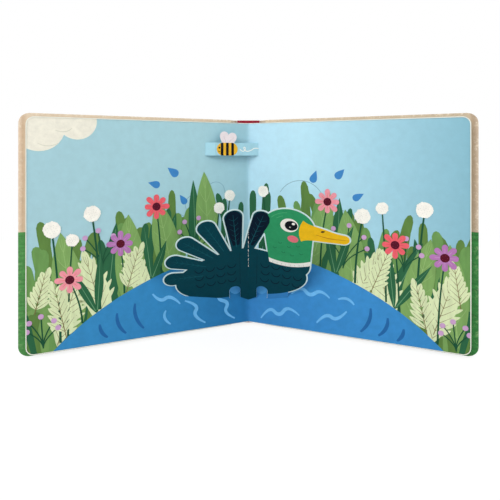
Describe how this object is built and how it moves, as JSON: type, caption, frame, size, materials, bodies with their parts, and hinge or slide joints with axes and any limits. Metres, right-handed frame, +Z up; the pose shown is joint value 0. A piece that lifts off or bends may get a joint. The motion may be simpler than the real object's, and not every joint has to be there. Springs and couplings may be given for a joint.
{
  "type": "pop-up book",
  "caption": "Hardcover children's pop-up book standing open in a V, with a folded duck and an insect strap rising across the gutter; both covers swing on the spine.",
  "frame": {"origin": "centre of the spine's foot, where the standing book rests", "axes": "+X to the right as the open pages are read, +Y behind the book, +Z up along the spine"},
  "size_m": [0.3476, 0.0811, 0.184],
  "materials": {
    "sky_card": "satin printed card, pale blue sky",
    "page_edge": "matte card seen at its cut edges",
    "case_cream": "matte laminated paper, cream",
    "case_green": "matte laminated paper, leaf green",
    "case_red": "matte laminated paper, red",
    "grey_board": "raw grey board",
    "pastedown_card": "satin printed card",
    "pop_up_card": "satin card, pale border left by the die cut",
    "strap_card": "satin card, pale blue",
    "ink_teal": "satin print, dark teal",
    "ink_head_green": "satin print, mallard green",
    "ink_yellow": "satin print, yellow",
    "ink_white": "satin print, warm white",
    "ink_dark": "satin print, near black",
    "ink_water": "satin print, water blue",
    "ink_wing": "satin print, very pale blue",
    "ink_grass": "satin print, grass green",
    "ink_dark_leaf": "satin print, dark leaf green",
    "ink_mid_leaf": "satin print, mid leaf green",
    "ink_pale_leaf": "satin print, pale leaf green",
    "ink_coral": "satin print, coral",
    "ink_lilac": "satin print, lilac",
    "ink_maroon": "satin print, maroon"
  },
  "bodies": {
    "page_block": {"spread_sheet": "sky_card", "left_pages": "page_edge", "right_pages": "page_edge", "spine_board": "grey_board", "spine_paper": "case_red", "duck_pop_up": "pop_up_card", "duck_body_print": "ink_teal", "duck_head_print": "ink_head_green", "duck_bill_print": "ink_yellow", "duck_collar_print": "ink_white", "duck_water_print": "ink_water", "duck_eye_print": "ink_white", "duck_pupil_print": "ink_dark", "bee_strap": "strap_card", "bee_body_print": "ink_yellow", "bee_wing_print": "ink_wing", "bee_band_print": "ink_dark", "pond_print": "ink_water", "bank_print": "ink_grass", "cloud_print": "ink_white", "dark_leaf_print": "ink_dark_leaf", "mid_leaf_print": "ink_mid_leaf", "pale_leaf_print": "ink_pale_leaf", "coral_flower_print": "ink_coral", "lilac_flower_print": "ink_lilac", "white_flower_print": "ink_white", "flower_centre_print": "ink_maroon"},
    "front_cover": {"front_cover_board": "grey_board", "front_cover_paper": "case_cream", "front_pastedown": "pastedown_card", "front_cover_green_field": "case_green"},
    "back_cover": {"back_cover_board": "grey_board", "back_cover_paper": "case_cream", "back_pastedown": "pastedown_card", "back_cover_green_field": "case_green"}
  },
  "joints": [
    {"name": "front_cover_hinge", "type": "hinge", "parent": "page_block", "child": "front_cover", "pos_m": [-0.01068, 0.00137, 0.092], "axis": [0, 0, -1], "range_deg": [0, 110]},
    {"name": "back_cover_hinge", "type": "hinge", "parent": "page_block", "child": "back_cover", "pos_m": [0.01068, 0.00137, 0.092], "axis": [0, 0, 1], "range_deg": [0, 110]}
  ]
}
